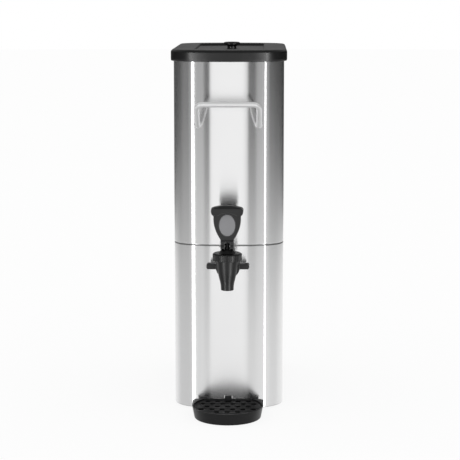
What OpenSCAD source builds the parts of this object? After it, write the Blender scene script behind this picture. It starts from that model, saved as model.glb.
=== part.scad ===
/* Countertop tea dispenser: a narrow, deep steel tank with a lift-off lid, a front faucet with a
   wing-nut coupling, two rod handles, a hollow skirt below the tank and a pull-out drip tray.
   Millimetres. X to the right, Y to the back, Z up. The origin is on the counter, at the middle of
   the whole part's footprint. The face with the faucet looks along -Y. */

/* [Body] */
// Width of the steel shell
body_w = 165; // [140:1:220]
// Depth of the steel shell, front to back
body_d = 320; // [240:1:400]
// Radius of the four upright corners
corner_r = 40.5; // [37:0.5:55]
// Radius of the bowed front and back faces
face_r = 190; // [160:1:600]
// Sheet thickness
sheet = 1; // [0.8:0.1:1.6]
// Gap between the counter and the shell's lower edge
shell_lift = 2.3; // [1:0.1:8]
// Height of the seam between the skirt and the tank, above the faucet's inlet
seam_rise = 27; // [13:1:75]
// Height of the groove at the seam
seam_gap = 1.6; // [0.6:0.1:3]
// Height of the top of the tank's rolled rim
rim_z = 536.2; // [420:0.1:620]
// Inner radius of the rolled rim
roll_in = 0.7; // [0.7:0.1:1.6]
// Rise of the tank floor from front to back
floor_rise = 9; // [0:0.5:20]
// Height of the floor's turned-down edge at the front
floor_edge = 7; // [4:0.5:12]

/* [Base] */
// Width of the skirt's turned-in lower edge
hem = 9; // [5:0.5:9]
// Height of the base pan above the shell's lower edge
pan_up = 5.7; // [4:0.1:12]
// Thickness of the base pan
pan_t = 1.2; // [0.8:0.1:2]
// Radius of a rubber foot
foot_r = 11; // [9:0.5:11]
// Radius of the feet's screws
foot_screw_r = 2.5; // [2:0.1:3]

/* [Lid] */
// Play between the lid's skirt and the rolled rim
lid_clear = 0.4; // [0.3:0.1:2]
// Thickness of the lid's skirt and panel
lid_wall = 1.6; // [1.4:0.1:3]
// Height of the lid's skirt
lid_h = 17; // [12:0.5:26]
// Depth of the panel below the lid's raised border
lid_dish = 3.5; // [1:0.1:5]
// Width of the lid's raised border
lid_border = 34; // [16:0.5:36]
// Radius of the lid's upper edge
lid_round = 4.5; // [2:0.1:6]
// Radius of the knob's head
knob_r = 13; // [9:0.5:20]
// Height of the knob above the panel
knob_h = 10.4; // [8:0.1:25]
// How far the knob sits right of the lid's centre line
knob_x = 2; // [-10:0.1:10]

/* [Handles] */
// Rod radius
rod_r = 3.9; // [3:0.1:5]
// Distance between the legs' centre lines
handle_span = 91; // [70:1:110]
// Distance of the bar from the shell's face
handle_out = 35; // [28:1:50]
// Distance of the bar below the tank's rim
handle_drop = 71.7; // [36:0.1:136]
// Bend radius at the bar's ends
handle_bend = 9; // [6:0.5:14]
// Distance of the legs' lower ends from the shell's face
handle_stub = 3; // [2:0.5:8]

/* [Faucet] */
// Height of the faucet's inlet above the counter
shank_z = 225; // [200:0.5:232]
// Distance of the spout from the shell's face
spout_out = 58; // [54:0.5:75]
// Height of the inlet above the tank floor at the front
floor_drop = 22; // [20:0.5:45]
// Shank radius
shank_r = 11; // [9:0.1:12]
// Shank bore radius
shank_bore = 7.5; // [5:0.1:8]
// Thickness of the shank's flange inside the tank
flange_t = 3.2; // [2:0.1:5]
// Thickness of the two gaskets at the middle of the wall
gasket_t = 3; // [2:0.1:4]
// Thickness of the shank's nut
nut_t = 6.5; // [4:0.1:8]
// Length of shank inside the wing nut
shank_grip = 14.7; // [10:0.1:18]
// Radius of the wing nut's hub
hub_r = 17.8; // [17:0.1:22]
// Span of the wing nut over both wings
wing_span = 63; // [48:0.5:80]
// Thickness of a wing
wing_t = 8; // [5:0.1:10]
// Depth of a wing along the shank
wing_d = 15; // [10:0.5:18]
// Width of the flange at the end of the tail tube
tail_lip = 1.9; // [1.2:0.1:2.4]
// Radius of the tail's bore
tail_bore = 5.5; // [4:0.1:6]
// Distance of the spout's lower end below the inlet
spout_drop = 29; // [24:0.5:45]
// Radius of the spout near its lower end
spout_r = 9.6; // [9.2:0.1:12]
// Radius of the barrel at the valve seat
valve_r = 13.65; // [13.2:0.05:16]
// Radius of the barrel at the collar
barrel_r = 15.5; // [15:0.1:18]
// Wall of the barrel
barrel_wall = 2.3; // [1.6:0.1:2.6]
// Distance of the valve seat below the inlet
seat_drop = 11.5; // [10.5:0.1:14]
// Radius of the valve seat's throat
seat_r = 6; // [5:0.1:6.4]
// Distance of the collar's lower edge above the inlet
collar_rise = 15; // [13:0.5:22]
// Height of the collar
collar_h = 11; // [9:0.5:16]
// Radius of the collar
collar_r = 21.3; // [19:0.1:26]
// Ribs around the collar
collar_ribs = 30; // [20:1:40]
// Height of the dome above the collar
dome_h = 5; // [3:0.1:8]
// Stem radius
stem_r = 3.5; // [2.5:0.1:3.6]
// Radius of the spring's wire
wire_r = 0.55; // [0.4:0.05:0.7]

/* [Lever] */
// Height of the lever's pin above the dome
pin_rise = 5; // [4.6:0.1:7]
// Radius of the lever's pin
pin_r = 1.6; // [1.2:0.1:2]
// How far the lever opens, in degrees
lever_open = 48; // [20:1:50]
// Lift of the valve stem at full opening
stem_lift = 4.4; // [2:0.1:4.6]
// Width of the lever's fork
fork_w = 19; // [15:0.5:22]
// Height of the lever above its pin
lever_len = 60.3; // [55:0.1:80]
// Distance of the paddle's lower end above the pin
paddle_up = 9.9; // [8:0.1:12]
// Width of the lever's paddle
paddle_w = 40; // [30:0.5:44]
// Height over which the paddle widens
paddle_h = 30; // [24:0.1:34]
// Distance of the paddle's face ahead of the pin
paddle_front = 8; // [7:0.5:10]
// Width of the finger rest on top of the lever
rest_w = 47.2; // [44:0.1:60]
// Height of the finger rest
rest_h = 14.8; // [11:0.1:17]
// Height of the arch below the finger rest
rest_arch = 4.4; // [3:0.1:5]
// Distance of the finger rest's face ahead of the pin
rest_front = 13.6; // [11:0.1:20]
// Width of the oval badge
badge_w = 23.1; // [15:0.1:26]
// Height of the oval badge
badge_h = 31.4; // [20:0.1:32]
// Thickness of the badge
badge_t = 1.5; // [1:0.1:2.5]

/* [Drip tray] */
// Width of the tray
tray_w = 106; // [90:1:130]
// How far the tray reaches ahead of the shell
tray_d = 91; // [85:1:120]
// Height of the tray
tray_h = 17.5; // [15:0.1:24]
// Wall of the tray
tray_wall = 2; // [1.6:0.1:3]
// Floor of the tray
tray_floor = 2.6; // [1.6:0.1:4]
// Thickness of the grille
grille_t = 2.2; // [1.6:0.1:4]
// Radius of a hole in the grille
grille_hole = 4; // [2:0.1:5]
// Distance between the holes of a row
grille_pitch = 15.4; // [11:0.1:20]
// Distance between the rows of holes
grille_row = 15; // [11:0.1:20]
// Width of the tray's tongue
tongue_w = 10.7; // [8:0.1:16]
// Thickness of the tray's tongue
tongue_t = 3.9; // [2:0.1:6]
// Length of the tongue inside the skirt
tongue_in = 7.5; // [4:0.5:20]

/* [Hidden] */
$fn = 64;
steel = [0.80, 0.81, 0.82];
black = [0.10, 0.10, 0.11];
// Clearances: loose pieces that rest on each other, parts that turn or slide, and parts fixed together
seat_gap = 0.3;
run = 0.08;
fit = 0.05;
slot_play = 0.6;

// The footprint's middle is the origin, so the shell's middle stands a little behind it
rear_reach = handle_out + rod_r;
body_y = (tray_d - rear_reach) / 2;
front_y = body_y - body_d / 2;
rear_y = body_y + body_d / 2;
corner_x = body_w / 2 - corner_r;
face_a = asin(corner_x / (face_r - corner_r));
corner_in = face_r - (face_r - corner_r) * cos(face_a);
corner_steps = 14;
face_steps = 8;
// Each arc is its centre, radius, start angle, sweep, steps, and 1 where the next arc starts at its end
body_arcs = [
  [[corner_x, rear_y - corner_in], corner_r, 0, 90 - face_a, corner_steps, 1],
  [[0, rear_y - face_r], face_r, 90 - face_a, 2 * face_a, face_steps, 1],
  [[-corner_x, rear_y - corner_in], corner_r, 90 + face_a, 90 - face_a, corner_steps, 0],
  [[-corner_x, front_y + corner_in], corner_r, 180, 90 - face_a, corner_steps, 1],
  [[0, front_y + face_r], face_r, 270 - face_a, 2 * face_a, face_steps, 1],
  [[corner_x, front_y + corner_in], corner_r, 270 + face_a, 90 - face_a, corner_steps, 0]];
tray_corner = 8;
tray_x = tray_w / 2;
tray_y = front_y - tray_d + tray_x;
tray_arcs = [
  [[tray_x - tray_corner, front_y - seat_gap - tray_corner], tray_corner, 0, 90, 8, 0],
  [[-tray_x + tray_corner, front_y - seat_gap - tray_corner], tray_corner, 90, 90, 8, 0],
  [[0, tray_y], tray_x, 180, 180, 44, 0]];
// The basin is round and cut off at the tray's rear wall. Its outline has as many points as the tray's
basin_r = tray_x - tray_wall;
basin_a = asin(min(0.97, (front_y - seat_gap - tray_wall - tray_y) / basin_r));
basin_arcs = [
  [[0, tray_y], basin_r, 0, basin_a, 8, 0],
  [[0, tray_y], basin_r, 180 - basin_a, basin_a, 8, 0],
  [[0, tray_y], basin_r, 180, 180, 44, 0]];

roll_r = roll_in + sheet;
lid_in = roll_in + roll_r + lid_clear;
lid_over = lid_in + lid_wall;
lid_under = rim_z + seat_gap;
lid_panel = lid_under + lid_wall;
lid_top = lid_panel + lid_dish;
knob_screw_r = 2;

seam_z = shank_z + seam_rise;
floor_z = shank_z - floor_drop;
floor_a = atan(floor_rise / body_d);
wall_z = floor_z - floor_edge;

pan_z = shell_lift + pan_up;
pan_ring = hem + 2 * foot_r + 3;
foot_in = (corner_r - hem - foot_r - seat_gap) / sqrt(2);
foot_x = corner_x + foot_in;
foot_ys = [front_y + corner_in - foot_in, rear_y - corner_in + foot_in];
foot_head_r = foot_screw_r + 1.9;
foot_head_t = 3;
foot_head_z = 1;
foot_nut_r = (foot_screw_r + 1.5) * 2 / sqrt(3);
foot_nut_t = 4;

// Distances ahead of the shell's face along the shank
nut_p = gasket_t;
hub_p = nut_p + nut_t + 0.8;
tail_p = hub_p + shank_grip;
seal_t = 1.5;
tail_flange_t = 2.5;
lip_p = tail_p + seal_t + tail_flange_t + seat_gap;
hub_end = lip_p + 2.1;
tail_flange_r = shank_r - 0.6;
tail_r = tail_flange_r - tail_lip;
flange_r = shank_r + 7;

// Heights of the faucet, all from the inlet
faucet_y = front_y - spout_out;
spout_z = shank_z - spout_drop;
seat_z = shank_z - seat_drop;
collar_z = shank_z + collar_rise;
collar_top = collar_z + collar_h;
dome_z = collar_top + dome_h;
pin_z = dome_z + pin_rise;
cap_t = 3.6;
under_z = collar_top - cap_t;
bell_t = 1.4;
chamber_z = under_z - bell_t;
chamber_r = barrel_r - barrel_wall;
valve_in = valve_r - barrel_wall - 0.15;
foot_top = seat_z + 5.5;
shoulder_top = foot_top + 1.4;
spring_r = stem_r + wire_r + 1.25;
fork_half = fork_w / 2;
fork_slot = stem_r + 0.4;
cam_h = pin_rise - seat_gap;
cam_k = stem_lift / (lever_open * PI / 180);
// The cam touches the dome at this distance ahead of the pin, always on the dome's flat top
dome_r = cam_k + 2.85;
paddle_z = pin_z + paddle_up;
lever_top = pin_z + lever_len;
rest_z = lever_top - rest_h;
badge_z = paddle_z + badge_h / 2 + 5.7;
badge_seat = paddle_front - 1.2;

// Grille and tongue of the tray
grille_seat = tray_h - 4.1;
grille_z = grille_seat + seat_gap;
grille_play = 0.5;
tongue_z = tray_h + 0.1;

// Points of a closed outline made of arcs, moved outwards by off
function trace(arcs, off = 0) = [for (arc = arcs) for (i = [0:arc[4] - arc[5]])
  let(a = arc[2] + arc[3] * i / arc[4]) arc[0] + (arc[1] + off) * [cos(a), sin(a)]];

// Solid through a stack of outlines, each an offset and a height, closed at both ends. From the ring
// number turn on, the outlines follow the second set of arcs
module loft(arcs, rings, turn = 1000, inner = []) {
  n = len(trace(arcs));
  m = len(rings);
  polyhedron(
    points = [for (i = [0:m - 1]) for (p = trace(i < turn ? arcs : inner, rings[i][0]))
      [p[0], p[1], rings[i][1]]],
    faces = concat(
      [[for (j = [0:n - 1]) j]],
      [for (i = [0:m - 2]) for (j = [0:n - 1])
        [i * n + j, (i + 1) * n + j, (i + 1) * n + (j + 1) % n, i * n + (j + 1) % n]],
      [[for (j = [0:n - 1]) m * n - 1 - j]]));
}

// Ring with a closed profile of offsets and heights, listed anticlockwise
module sweep(arcs, profile) {
  n = len(trace(arcs));
  m = len(profile);
  polyhedron(
    points = [for (r = profile) for (p = trace(arcs, r[0])) [p[0], p[1], r[1]]],
    faces = [for (i = [0:m - 1]) for (j = [0:n - 1])
      [i * n + j, ((i + 1) % m) * n + j, ((i + 1) % m) * n + (j + 1) % n, i * n + (j + 1) % n]]);
}

module prism(arcs, off, z, h) {
  translate([0, 0, z]) linear_extrude(h) polygon(trace(arcs, off));
}

// Round bar along -Y on the shank's axis, from p0 to p1 ahead of the shell's face
module bar_y(r, p0, p1) {
  translate([0, front_y - p0, shank_z]) rotate([90, 0, 0]) cylinder(r = r, h = p1 - p0);
}

// Steel tank wall: stepped in below the seam so the skirt fits over it, rolled outwards at the top
module tank_shell() {
  ro = [roll_in, rim_z - roll_r];
  difference() {
    sweep(body_arcs, concat(
      [[-2 * sheet, wall_z], [-sheet, wall_z], [-sheet, seam_z - seam_gap / 4], [0, seam_z + seam_gap / 2]],
      [for (i = [0:7]) ro + roll_in * [cos(180 - 30 * i), sin(180 - 30 * i)]],
      [for (i = [7:-1:0]) ro + roll_r * [cos(180 - 30 * i), sin(180 - 30 * i)]],
      [[-sheet, seam_z + seam_gap / 2 + sheet / 2], [-2 * sheet, seam_z - seam_gap / 4 + sheet / 2]]));
    bar_y(shank_r + fit, -hem, hem);
  }
}

// Everything above the sloping floor's plane, lowered by drop
module above_floor(drop) {
  translate([0, front_y, floor_z - drop]) rotate([floor_a, 0, 0])
    translate([-body_w, -body_d / 4, 0]) cube([2 * body_w, body_d * 1.5, 60 + floor_rise]);
}

// Sloping floor welded in with a turned-down edge
module tank_floor() {
  tall = floor_edge + floor_rise + 6;
  difference() {
    prism(body_arcs, -2 * sheet, wall_z, tall);
    above_floor(0);
    difference() {
      prism(body_arcs, -3 * sheet, wall_z - 2, tall + 4);
      above_floor(sheet);
    }
  }
}

// Skirt from the counter to the seam, with a turned-in lower edge and a slot for the tray's tongue
module lower_shell() {
  z0 = shell_lift;
  z1 = seam_z - seam_gap / 2;
  difference() {
    sweep(body_arcs, [[-hem, z0], [-0.8, z0], [0, z0 + 0.8], [0, z1], [-sheet, z1], [-sheet, z0 + sheet],
      [-hem, z0 + sheet]]);
    bar_y(shank_r + fit, -hem, hem);
    translate([-tongue_w / 2 - slot_play, front_y - 3, tongue_z - slot_play])
      cube([tongue_w + 2 * slot_play, 6, tongue_t + 2 * slot_play]);
  }
}

// Pressed ring that closes the skirt's edge and carries the feet
module base_pan() {
  foot = shell_lift + sheet;
  difference() {
    prism(body_arcs, -sheet, foot, pan_z + pan_t - foot);
    prism(body_arcs, -sheet - pan_t, foot - 1, pan_z - foot + 1);
    prism(body_arcs, -pan_ring, pan_z - 1, pan_t + 2);
    at_feet() cylinder(r = foot_screw_r + fit, h = pan_z + pan_t + 2);
  }
}

module at_feet() {
  for (x = [-foot_x, foot_x]) for (y = foot_ys) translate([x, y, 0]) children();
}

module base_feet() {
  seat = foot_head_z + foot_head_t;
  bore = foot_screw_r + fit;
  at_feet() rotate_extrude() polygon([[foot_head_r + 0.4, 0], [foot_r - 1, 0], [foot_r, 1.2],
    [foot_r - 0.8, pan_z], [bore, pan_z], [bore, seat], [foot_head_r + 0.4, seat]]);
}

module feet_screws() {
  seat = foot_head_z + foot_head_t;
  at_feet() difference() {
    union() {
      translate([0, 0, foot_head_z]) cylinder(r = foot_head_r, h = foot_head_t);
      translate([0, 0, seat - 0.1]) cylinder(r = foot_screw_r, h = pan_z + pan_t + foot_nut_t + 3.5 - seat);
    }
    translate([-foot_r, -0.5, foot_head_z - 1]) cube([2 * foot_r, 1, 2.3]);
  }
}

module feet_nuts() {
  at_feet() translate([0, 0, pan_z + pan_t]) difference() {
    cylinder(r = foot_nut_r, h = foot_nut_t, $fn = 6);
    translate([0, 0, -1]) cylinder(r = foot_screw_r + fit, h = foot_nut_t + 2);
  }
}

// Bent rod handle for the front face: the bar stands out above two short legs welded to the shell
module handle_rod() {
  half = handle_span / 2;
  bar = half - handle_bend;
  drop = handle_out - handle_stub;
  leg = drop * sqrt(2);
  top = rim_z - handle_drop;
  end_r = rod_r + 0.8;
  difference() {
    union() {
      translate([0, front_y - handle_out, top]) rotate([-45, 0, 0]) {
        translate([-bar, 0, 0]) rotate([0, 90, 0]) cylinder(r = rod_r, h = 2 * bar);
        for (s = [0, 1]) mirror([s, 0, 0]) {
          translate([bar, handle_bend, 0]) rotate([0, 0, 270])
            rotate_extrude(angle = 90) translate([handle_bend, 0]) circle(r = rod_r);
          translate([half, handle_bend, 0]) rotate([-90, 0, 0]) cylinder(r = rod_r, h = leg - handle_bend);
        }
      }
      for (s = [-1, 1]) translate([s * half, front_y - handle_stub, top - drop]) {
        sphere(r = end_r);
        rotate([-90, 0, 0]) cylinder(r = end_r, h = corner_in);
      }
    }
    prism(body_arcs, 0, top - drop - 3 * end_r, 6 * end_r);
  }
}

module front_handle() {
  handle_rod();
}

module rear_handle() {
  translate([0, 2 * body_y, 0]) mirror([0, 1, 0]) handle_rod();
}

// Moulded lid: a skirt outside the rolled rim, a rounded shoulder, a raised border that is hollow from
// below, and a sunk panel
module lid_cover() {
  z0 = lid_top - lid_h;
  so = [lid_over - lid_round, lid_top - lid_round];
  brim = lid_over - lid_border;
  hollow = lid_top - lid_wall;
  difference() {
    loft(body_arcs, concat(
      [[brim - 4, lid_under], [brim - 0.8, lid_under], [brim + 1.4, hollow], [-roll_r, hollow],
        [-roll_r, lid_under], [lid_in, lid_under], [lid_in, z0], [lid_over - 0.9, z0],
        [lid_over - 0.4, z0 + 0.6], [lid_over, z0 + 3]],
      [for (i = [0:6]) so + lid_round * [cos(15 * i), sin(15 * i)]],
      [[brim, lid_top], [brim - 0.8, lid_top - lid_dish / 6],
        [brim - 1.6, lid_panel + lid_dish / 8], [brim - 2.2, lid_panel]]));
    translate([knob_x, body_y, lid_under - 1]) cylinder(r = knob_screw_r + fit, h = lid_wall + 2);
  }
}

module lid_knob() {
  h = knob_h;
  translate([knob_x, body_y, lid_panel]) difference() {
    rotate_extrude() polygon([[0, 0], [knob_r * 0.56, 0], [knob_r * 0.52, h * 0.3], [knob_r * 0.66, h * 0.48],
      [knob_r * 0.94, h * 0.58], [knob_r, h * 0.68], [knob_r, h * 0.82], [knob_r * 0.93, h * 0.93],
      [knob_r * 0.78, h * 0.985], [knob_r * 0.6, h], [0, h]]);
    translate([0, 0, -1]) cylinder(r = knob_screw_r + fit, h = 8);
  }
}

module knob_screw() {
  head_t = 2.6;
  translate([knob_x, body_y, lid_under]) difference() {
    union() {
      translate([0, 0, -head_t]) cylinder(r = 2.1 * knob_screw_r, h = head_t);
      translate([0, 0, -0.1]) cylinder(r = knob_screw_r, h = lid_wall + 6);
    }
    translate([-5, -0.5, -head_t - 1]) cube([10, 1, 2.2]);
  }
}

// Threaded tube through both walls, with its flange inside the tank
module faucet_shank() {
  flange_p = -gasket_t - 2 * sheet;
  difference() {
    union() {
      bar_y(shank_r, flange_p - flange_t, tail_p);
      bar_y(flange_r, flange_p - flange_t, flange_p);
    }
    bar_y(shank_bore, flange_p - flange_t - 1, tail_p + 1);
  }
}

module shank_gasket() {
  intersection() {
    difference() {
      bar_y(flange_r - 1, -gasket_t - 2 * sheet, 2);
      bar_y(shank_r + fit, -gasket_t - 2 * sheet - 1, 4);
    }
    prism(body_arcs, -2 * sheet, shank_z - 2 * flange_r, 4 * flange_r);
  }
}

module shell_gasket() {
  difference() {
    bar_y(flange_r, -hem, gasket_t);
    bar_y(shank_r + fit, -hem - 1, gasket_t + 1);
    prism(body_arcs, 0, shank_z - 2 * flange_r, 4 * flange_r);
  }
}

module shank_nut() {
  difference() {
    translate([0, front_y - nut_p, shank_z]) rotate([90, 0, 0])
      cylinder(r = shank_r + 6.4, h = nut_t, $fn = 6);
    bar_y(shank_r + fit, nut_p - 1, nut_p + nut_t + 1);
  }
}

module tail_seal() {
  difference() {
    bar_y(tail_flange_r - 0.1, tail_p, tail_p + seal_t);
    bar_y(tail_bore + 0.5, tail_p - 1, tail_p + seal_t + 1);
  }
}

// Union nut that pulls the faucet's tail against the shank, with two flat wings
module wing_nut() {
  difference() {
    union() {
      bar_y(hub_r, hub_p, hub_end);
      bar_y(hub_r + 0.8, hub_p, hub_p + 3);
      for (s = [0, 1]) mirror([s, 0, 0]) translate([0, front_y - hub_p - 3, shank_z])
        rotate([90, 0, 0]) linear_extrude(wing_d) wing_outline();
    }
    bar_y(shank_r + run, hub_p - 1, lip_p);
    bar_y(tail_r + seat_gap + 0.1, tail_p, hub_end + 1);
  }
}

// One wing seen along the shank, from inside the hub to its rounded end
module wing_outline() {
  a = hub_r - 5;
  w = wing_span / 2;
  t = wing_t / 2;
  b = 1.6;
  polygon([[a, -t], [w - b, -t], [w - b * 0.3, -t + b * 0.3], [w, -t + b], [w, t - b],
    [w - b * 0.3, t - b * 0.3], [w - b, t], [a, t]]);
}

// Tapered spout with a valve chamber above the seat and a tail tube at the back
module faucet_body() {
  difference() {
    union() {
      translate([0, faucet_y, 0]) rotate_extrude() polygon([[0, spout_z], [spout_r - 0.7, spout_z],
        [spout_r - 0.3, spout_z + 0.6], [spout_r, spout_z + 8], [valve_r, seat_z + 7.5],
        [barrel_r, collar_z - 2], [barrel_r, chamber_z], [0, chamber_z]]);
      bar_y(tail_r, tail_p + seal_t, spout_out - valve_in / 2);
      bar_y(tail_flange_r, tail_p + seal_t, tail_p + seal_t + tail_flange_t);
    }
    translate([0, faucet_y, 0]) rotate_extrude() polygon([[0, spout_z - 1], [spout_r - 2, spout_z - 1],
      [spout_r - 2, spout_z + 6], [seat_r, seat_z - 4.5], [seat_r, seat_z], [seat_r + 4, seat_z + 3.5],
      [valve_in, seat_z + 7.5], [chamber_r, collar_z - 2], [chamber_r, chamber_z + 1], [0, chamber_z + 1]]);
    bar_y(tail_bore, tail_p, spout_out);
  }
}

// Ribbed collar screwed over the chamber, with a low dome that the lever's cam bears on
module faucet_bonnet() {
  translate([0, faucet_y, 0]) difference() {
    union() {
      rotate_extrude() polygon([[0, collar_z + 1], [collar_r - 0.7, collar_z + 1],
        [collar_r - 0.7, collar_top - 1], [collar_r - 2, collar_top], [dome_r + 5.1, collar_top],
        [dome_r + 0.8, dome_z - 0.8], [dome_r, dome_z], [0, dome_z]]);
      translate([0, 0, collar_z]) linear_extrude(collar_h - 1.4) polygon([for (i = [0:collar_ribs - 1])
        for (k = [[0, 0.8], [0.3, 0], [0.7, 0], [1, 0.8]])
          let(a = 360 * (i + k[0] * 0.8) / collar_ribs) (collar_r - k[1]) * [cos(a), sin(a)]]);
    }
    translate([0, 0, collar_z - 1]) cylinder(r = barrel_r + fit, h = under_z - collar_z + 1);
    translate([0, 0, collar_z - 1]) cylinder(r = stem_r + run, h = collar_h + dome_h + 2);
  }
}

module valve_stem() {
  top = pin_z + stem_r + 0.5;
  difference() {
    translate([0, faucet_y, 0]) rotate_extrude() polygon([[0, seat_z + 2.2], [seat_r - 1, seat_z + 2.2],
      [seat_r - 1, foot_top], [seat_r + 0.3, foot_top], [seat_r + 0.3, shoulder_top], [stem_r, shoulder_top],
      [stem_r, top - 0.6], [stem_r - 0.6, top], [0, top]]);
    translate([-2 * stem_r, faucet_y, pin_z]) rotate([0, 90, 0]) cylinder(r = pin_r + run, h = 4 * stem_r);
  }
}

// Soft bell: its nose closes the seat, its flange is clamped under the bonnet
module seat_cup() {
  translate([0, faucet_y, 0]) rotate_extrude() polygon([[0, seat_z - 1.1], [seat_r - 1.2, seat_z - 1.1],
    [seat_r - 0.4, seat_z], [seat_r + 2.8, seat_z + 2.8], [seat_r + 2.8, seat_z + 4],
    [seat_r + 2.2, seat_z + 8.5], [chamber_r - 3.6, collar_z], [chamber_r - 0.5, chamber_z - 1],
    [chamber_r - 0.3, chamber_z], [barrel_r - 0.3, chamber_z], [barrel_r - 0.3, under_z],
    [chamber_r - 1.6, under_z], [chamber_r - 1.6, chamber_z - 0.6], [chamber_r - 4.7, collar_z],
    [seat_r + 1.1, seat_z + 8.5], [seat_r + 0.9, seat_z + 1.9], [0, seat_z + 1.9]]);
}

// Round wire wound in a helix with closed end turns
module valve_spring() {
  steps = 18;
  turns = 7;
  z0 = shoulder_top + wire_r + fit;
  z1 = under_z - wire_r - fit;
  end = 2.4 * wire_r;
  mid = (z1 - z0 - 2 * end) / (turns - 2);
  n = steps * turns;
  function lift(t) = t < 1 ? z0 + end * t : t > turns - 1 ? z1 - end * (turns - t) : z0 + end + mid * (t - 1);
  translate([0, faucet_y, 0]) polyhedron(
    points = [for (i = [0:n]) for (k = [0:7])
      let(t = i / steps, a = 360 * t, b = 45 * k, r = spring_r + wire_r * cos(b))
      [r * cos(a), r * sin(a), lift(t) + wire_r * sin(b)]],
    faces = concat(
      [[for (k = [0:7]) k]],
      [for (i = [0:n - 1]) for (k = [0:7])
        [i * 8 + k, (i + 1) * 8 + k, (i + 1) * 8 + (k + 1) % 8, i * 8 + (k + 1) % 8]],
      [[for (k = [7:-1:0]) n * 8 + k]]));
}

// Point of the lever's cam where it faces straight down at an opening of a degrees
function cam_point(a) = let(h = cam_h + cam_k * a * PI / 180)
  [-h * sin(a) - cam_k * cos(a), -h * cos(a) + cam_k * sin(a)];

// Half width of the paddle at a share t of its height, from the fork's width up
function paddle_half(t) = fork_half + (paddle_w / 2 - fork_half) * (1 - pow(1 - t, 1.9));

function ellipse(w, h, n) = [for (i = [0:n - 1]) [w / 2 * cos(360 * i / n), h / 2 * sin(360 * i / n)]];

// Solid from a side view, y and z measured from the pin, between x0 and x1
module side_plate(x0, x1, points) {
  translate([x0, faucet_y, pin_z]) rotate([90, 0, 90]) linear_extrude(x1 - x0) polygon(points);
}

// Solid from a front view, x and z, between two distances ahead of the pin
module front_plate(back, front, points) {
  translate([0, faucet_y - back, 0]) rotate([90, 0, 0]) linear_extrude(front - back) polygon(points);
}

// Front view of the lever's paddle
function paddle_outline() = let(
  side = concat([for (i = [0:14]) [paddle_half(i / 14), paddle_z + i / 14 * paddle_h]],
    [[paddle_w / 2, rest_z + rest_arch + 2]]))
  concat(side, [for (i = [len(side) - 1:-1:0]) [-side[i][0], side[i][1]]]);

// Front view of the finger rest: crowned on top, with rounded ends and an arch below
function rest_outline() = let(h = rest_w / 2, a = badge_w / 2 + 2.6, z = rest_z,
  end = [[h - 3.6, z], [h - 1.9, z + 1.3], [h - 0.8, z + 3], [h, z + rest_h * 0.48],
    [h - 0.2, z + rest_h * 0.6]])
  concat([for (i = [-6:6]) [a * i / 6, z + rest_arch * (1 - pow(i / 6, 2))]], end,
    [for (i = [0:16]) let(x = (h - 1.2) * (1 - i / 8)) [x, lever_top - 0.3 * rest_h * pow(abs(x) / h, 2.2)]],
    [for (i = [4:-1:0]) [-end[i][0], end[i][1]]]);

// Side view of the finger rest, rounded above and below its face
function rest_side() = let(u = lever_len, d = rest_front, z = lever_len - rest_h) [[1, z - 1], [2.4, z + 4],
  [2.4, u - 3], [0.6, u - 0.6], [-2, u + 0.1], [-d + 5.6, u + 0.1], [-d + 2.2, u - 1.4], [-d + 0.2, u - 4.6],
  [-d, u - 8], [-d + 1, z + 1], [-d + 2, z - 1]];

// Forked lever: a cam below the pin, a lip where the fork meets the paddle, and the finger rest on top
module lever() {
  lip = paddle_front + 1.6;
  difference() {
    union() {
      side_plate(-fork_half, fork_half, concat(
        [[5.2, -cam_h]], [for (i = [0:8]) cam_point(lever_open * i / 8)],
        [[cam_point(lever_open)[0] + 0.4, 0.4], [-lip + 0.8, 3], [-lip + 0.8, paddle_up - 3.4],
          [-lip, paddle_up - 3], [-paddle_front, paddle_up], [-paddle_front + 2, paddle_up + 7],
          [3.4, paddle_up + 7], [5.2, paddle_up]]));
      front_plate(2, paddle_front, paddle_outline());
      front_plate(-1, 3, [[-7, paddle_z + 2], [7, paddle_z + 2], [9, paddle_z + 18], [9, lever_top - 4],
        [-9, lever_top - 4], [-9, paddle_z + 18]]);
      intersection() {
        front_plate(-3, rest_front + 1, rest_outline());
        side_plate(-rest_w / 2 - 1, rest_w / 2 + 1, rest_side());
      }
    }
    translate([-fork_slot, faucet_y - 20, pin_z - 20]) cube([2 * fork_slot, 40, 27]);
    translate([-20, faucet_y, pin_z]) rotate([0, 90, 0]) cylinder(r = pin_r, h = 40);
    translate([0, faucet_y - badge_seat, badge_z]) rotate([90, 0, 0])
      linear_extrude(4) polygon(ellipse(badge_w + 4 * fit, badge_h + 4 * fit, 48));
  }
}

module lever_badge() {
  translate([0, faucet_y - badge_seat, badge_z]) rotate([90, 0, 0])
    linear_extrude(badge_t) polygon(ellipse(badge_w, badge_h, 48));
}

module lever_pin() {
  reach = fork_half + 2;
  translate([-reach, faucet_y, pin_z]) rotate([0, 90, 0]) cylinder(r = pin_r, h = 2 * reach);
}

// D-shaped tray with a drafted wall, a round basin with a ledge for the grille, and a tongue that enters the
// skirt's slot
module drip_tray() {
  h = tray_h;
  tongue_top = tongue_z + tongue_t;
  loft(tray_arcs, [[-4.4, 0], [-3.4, 0.8], [-0.4, h - 1.2], [0, h - 0.7], [0, h], [0.1, h],
    [-0.1, grille_seat], [-2, grille_seat], [-4, tray_floor + 1.4], [-5, tray_floor]], 5, basin_arcs);
  translate([-tongue_w / 2, front_y - seat_gap - 2, grille_z]) cube([tongue_w, 2, tongue_top - grille_z]);
  translate([-tongue_w / 2, front_y - seat_gap - 0.5, tongue_z])
    cube([tongue_w, 0.5 + seat_gap + tongue_in, tongue_t]);
}

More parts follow.
